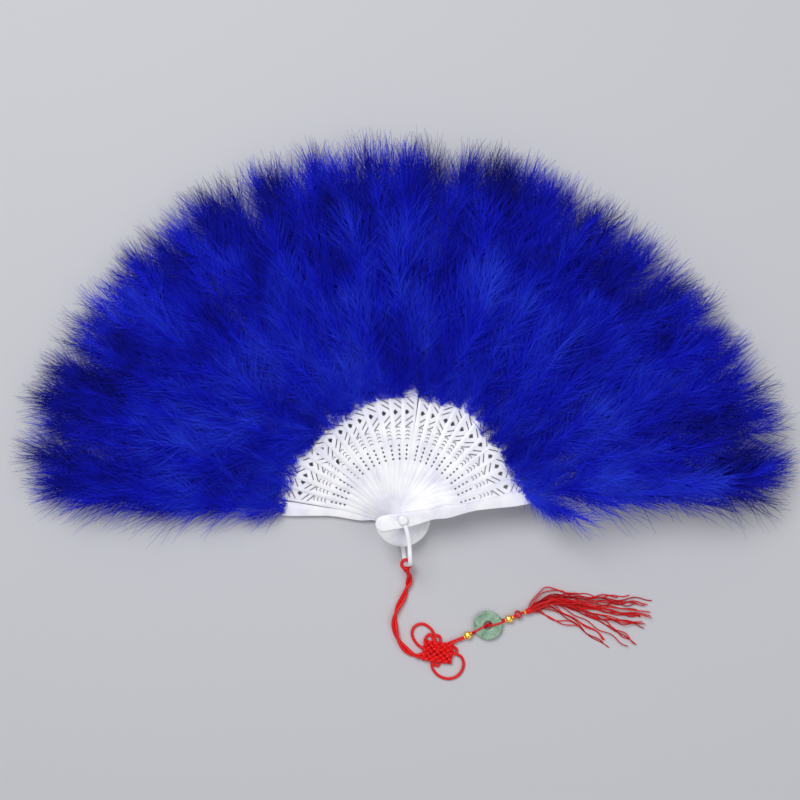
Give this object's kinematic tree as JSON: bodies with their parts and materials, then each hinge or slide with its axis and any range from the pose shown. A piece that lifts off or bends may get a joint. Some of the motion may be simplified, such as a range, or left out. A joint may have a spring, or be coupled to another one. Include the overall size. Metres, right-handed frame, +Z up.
{
  "type": "folding feather fan",
  "caption": "Folding hand fan of pierced plastic ribs between two plain guards, tipped with fluffy feathers, with a bail, knotted cord, beads, disc and tassel.",
  "frame": {"origin": "on the pivot pin axis, at the lower face of the pin head that the fan lies on", "axes": "+Z up along the pivot pin, from the rear guard to the front guard; +Y out over the middle of the open fan; +X to the right"},
  "size_m": [0.5208, 0.3782, 0.0514],
  "materials": {
    "white_plastic": "glossy moulded white plastic",
    "feathers": "fluffy marabou feathers dyed royal blue",
    "red_cord": "smooth braided satin knotting cord",
    "tassel_thread": "loose silky threads",
    "gold": "bright faceted gold plate",
    "jade": "polished pale green mottled stone",
    "red_glaze": "glossy red bead"
  },
  "bodies": {
    "frame": {"rear_guard": "white_plastic", "pivot_pin": "white_plastic", "pin_cap": "white_plastic", "plume_01": "feathers"},
    "rib_01_body": {"rib_01": "white_plastic"},
    "rib_02_body": {"rib_02": "white_plastic", "plume_02": "feathers"},
    "rib_03_body": {"rib_03": "white_plastic"},
    "rib_04_body": {"rib_04": "white_plastic", "plume_03": "feathers"},
    "rib_05_body": {"rib_05": "white_plastic"},
    "rib_06_body": {"rib_06": "white_plastic", "plume_04": "feathers"},
    "rib_07_body": {"rib_07": "white_plastic"},
    "rib_08_body": {"rib_08": "white_plastic", "plume_05": "feathers"},
    "rib_09_body": {"rib_09": "white_plastic"},
    "rib_10_body": {"rib_10": "white_plastic", "plume_06": "feathers"},
    "rib_11_body": {"rib_11": "white_plastic"},
    "rib_12_body": {"rib_12": "white_plastic", "plume_07": "feathers"},
    "rib_13_body": {"rib_13": "white_plastic"},
    "rib_14_body": {"rib_14": "white_plastic", "plume_08": "feathers"},
    "rib_15_body": {"rib_15": "white_plastic"},
    "rib_16_body": {"rib_16": "white_plastic", "plume_09": "feathers"},
    "rib_17_body": {"rib_17": "white_plastic"},
    "rib_18_body": {"rib_18": "white_plastic", "plume_10": "feathers"},
    "rib_19_body": {"rib_19": "white_plastic"},
    "rib_20_body": {"rib_20": "white_plastic", "plume_11": "feathers"},
    "rib_21_body": {"rib_21": "white_plastic"},
    "rib_22_body": {"rib_22": "white_plastic", "plume_12": "feathers"},
    "rib_23_body": {"rib_23": "white_plastic"},
    "rib_24_body": {"rib_24": "white_plastic", "plume_13": "feathers"},
    "rib_25_body": {"rib_25": "white_plastic"},
    "front_guard_body": {"front_guard": "white_plastic", "plume_14": "feathers"},
    "bail_body": {"bail": "white_plastic", "cord_hitch": "red_cord", "upper_strand_1": "red_cord", "upper_strand_2": "red_cord", "flower_knot": "red_cord", "lower_strand_1": "red_cord", "lower_strand_2": "red_cord", "gold_bead_1": "gold", "jade_disc": "jade", "gold_bead_2": "gold", "red_bead": "red_glaze", "end_bead": "gold", "tassel": "tassel_thread"}
  },
  "joints": [
    {"name": "fan_fold", "type": "hinge", "parent": "frame", "child": "front_guard_body", "pos_m": [0, 0, 0], "axis": [0, 0, 1], "range_deg": [0, 165.1], "deforming": ["plume_01", "plume_02", "plume_03", "plume_04", "plume_05", "plume_06", "plume_07", "plume_08", "plume_09", "plume_10", "plume_11", "plume_12", "plume_13", "plume_14"]},
    {"name": "rib_01_fold", "type": "hinge", "parent": "frame", "child": "rib_01_body", "pos_m": [0, 0, 0], "axis": [0, 0, 1], "range_deg": [0, 8.1]},
    {"name": "rib_02_fold", "type": "hinge", "parent": "frame", "child": "rib_02_body", "pos_m": [0, 0, 0], "axis": [0, 0, 1], "range_deg": [0, 14.35]},
    {"name": "rib_03_fold", "type": "hinge", "parent": "frame", "child": "rib_03_body", "pos_m": [0, 0, 0], "axis": [0, 0, 1], "range_deg": [0, 20]},
    {"name": "rib_04_fold", "type": "hinge", "parent": "frame", "child": "rib_04_body", "pos_m": [0, 0, 0], "axis": [0, 0, 1], "range_deg": [0, 26.85]},
    {"name": "rib_05_fold", "type": "hinge", "parent": "frame", "child": "rib_05_body", "pos_m": [0, 0, 0], "axis": [0, 0, 1], "range_deg": [0, 32.2]},
    {"name": "rib_06_fold", "type": "hinge", "parent": "frame", "child": "rib_06_body", "pos_m": [0, 0, 0], "axis": [0, 0, 1], "range_deg": [0, 36.85]},
    {"name": "rib_07_fold", "type": "hinge", "parent": "frame", "child": "rib_07_body", "pos_m": [0, 0, 0], "axis": [0, 0, 1], "range_deg": [0, 43.5]},
    {"name": "rib_08_fold", "type": "hinge", "parent": "frame", "child": "rib_08_body", "pos_m": [0, 0, 0], "axis": [0, 0, 1], "range_deg": [0, 50.6]},
    {"name": "rib_09_fold", "type": "hinge", "parent": "frame", "child": "rib_09_body", "pos_m": [0, 0, 0], "axis": [0, 0, 1], "range_deg": [0, 56.85]},
    {"name": "rib_10_fold", "type": "hinge", "parent": "frame", "child": "rib_10_body", "pos_m": [0, 0, 0], "axis": [0, 0, 1], "range_deg": [0, 62.5]},
    {"name": "rib_11_fold", "type": "hinge", "parent": "frame", "child": "rib_11_body", "pos_m": [0, 0, 0], "axis": [0, 0, 1], "range_deg": [0, 69]},
    {"name": "rib_12_fold", "type": "hinge", "parent": "frame", "child": "rib_12_body", "pos_m": [0, 0, 0], "axis": [0, 0, 1], "range_deg": [0, 76.2]},
    {"name": "rib_13_fold", "type": "hinge", "parent": "frame", "child": "rib_13_body", "pos_m": [0, 0, 0], "axis": [0, 0, 1], "range_deg": [0, 82.5]},
    {"name": "rib_14_fold", "type": "hinge", "parent": "frame", "child": "rib_14_body", "pos_m": [0, 0, 0], "axis": [0, 0, 1], "range_deg": [0, 88.7]},
    {"name": "rib_15_fold", "type": "hinge", "parent": "frame", "child": "rib_15_body", "pos_m": [0, 0, 0], "axis": [0, 0, 1], "range_deg": [0, 97.1]},
    {"name": "rib_16_fold", "type": "hinge", "parent": "frame", "child": "rib_16_body", "pos_m": [0, 0, 0], "axis": [0, 0, 1], "range_deg": [0, 102.5]},
    {"name": "rib_17_fold", "type": "hinge", "parent": "frame", "child": "rib_17_body", "pos_m": [0, 0, 0], "axis": [0, 0, 1], "range_deg": [0, 108.1]},
    {"name": "rib_18_fold", "type": "hinge", "parent": "frame", "child": "rib_18_body", "pos_m": [0, 0, 0], "axis": [0, 0, 1], "range_deg": [0, 114.1]},
    {"name": "rib_19_fold", "type": "hinge", "parent": "frame", "child": "rib_19_body", "pos_m": [0, 0, 0], "axis": [0, 0, 1], "range_deg": [0, 119.7]},
    {"name": "rib_20_fold", "type": "hinge", "parent": "frame", "child": "rib_20_body", "pos_m": [0, 0, 0], "axis": [0, 0, 1], "range_deg": [0, 125.85]},
    {"name": "rib_21_fold", "type": "hinge", "parent": "frame", "child": "rib_21_body", "pos_m": [0, 0, 0], "axis": [0, 0, 1], "range_deg": [0, 132.5]},
    {"name": "rib_22_fold", "type": "hinge", "parent": "frame", "child": "rib_22_body", "pos_m": [0, 0, 0], "axis": [0, 0, 1], "range_deg": [0, 138.7]},
    {"name": "rib_23_fold", "type": "hinge", "parent": "frame", "child": "rib_23_body", "pos_m": [0, 0, 0], "axis": [0, 0, 1], "range_deg": [0, 145]},
    {"name": "rib_24_fold", "type": "hinge", "parent": "frame", "child": "rib_24_body", "pos_m": [0, 0, 0], "axis": [0, 0, 1], "range_deg": [0, 151.2]},
    {"name": "rib_25_fold", "type": "hinge", "parent": "frame", "child": "rib_25_body", "pos_m": [0, 0, 0], "axis": [0, 0, 1], "range_deg": [0, 158.7]},
    {"name": "bail_swing", "type": "hinge", "parent": "frame", "child": "bail_body", "pos_m": [0, 0, 0], "axis": [0, 0, 1], "range_deg": [-75, 14]}
  ],
  "couplings": [
    {"joint": "rib_01_fold", "follows": "fan_fold", "ratio": 0.049061},
    {"joint": "rib_02_fold", "follows": "fan_fold", "ratio": 0.086917},
    {"joint": "rib_03_fold", "follows": "fan_fold", "ratio": 0.12114},
    {"joint": "rib_04_fold", "follows": "fan_fold", "ratio": 0.16263},
    {"joint": "rib_05_fold", "follows": "fan_fold", "ratio": 0.19503},
    {"joint": "rib_06_fold", "follows": "fan_fold", "ratio": 0.2232},
    {"joint": "rib_07_fold", "follows": "fan_fold", "ratio": 0.26348},
    {"joint": "rib_08_fold", "follows": "fan_fold", "ratio": 0.30648},
    {"joint": "rib_09_fold", "follows": "fan_fold", "ratio": 0.34434},
    {"joint": "rib_10_fold", "follows": "fan_fold", "ratio": 0.37856},
    {"joint": "rib_11_fold", "follows": "fan_fold", "ratio": 0.41793},
    {"joint": "rib_12_fold", "follows": "fan_fold", "ratio": 0.46154},
    {"joint": "rib_13_fold", "follows": "fan_fold", "ratio": 0.4997},
    {"joint": "rib_14_fold", "follows": "fan_fold", "ratio": 0.53725},
    {"joint": "rib_15_fold", "follows": "fan_fold", "ratio": 0.58813},
    {"joint": "rib_16_fold", "follows": "fan_fold", "ratio": 0.62084},
    {"joint": "rib_17_fold", "follows": "fan_fold", "ratio": 0.65475},
    {"joint": "rib_18_fold", "follows": "fan_fold", "ratio": 0.6911},
    {"joint": "rib_19_fold", "follows": "fan_fold", "ratio": 0.72501},
    {"joint": "rib_20_fold", "follows": "fan_fold", "ratio": 0.76226},
    {"joint": "rib_21_fold", "follows": "fan_fold", "ratio": 0.80254},
    {"joint": "rib_22_fold", "follows": "fan_fold", "ratio": 0.8401},
    {"joint": "rib_23_fold", "follows": "fan_fold", "ratio": 0.87826},
    {"joint": "rib_24_fold", "follows": "fan_fold", "ratio": 0.91581},
    {"joint": "rib_25_fold", "follows": "fan_fold", "ratio": 0.96124}
  ]
}
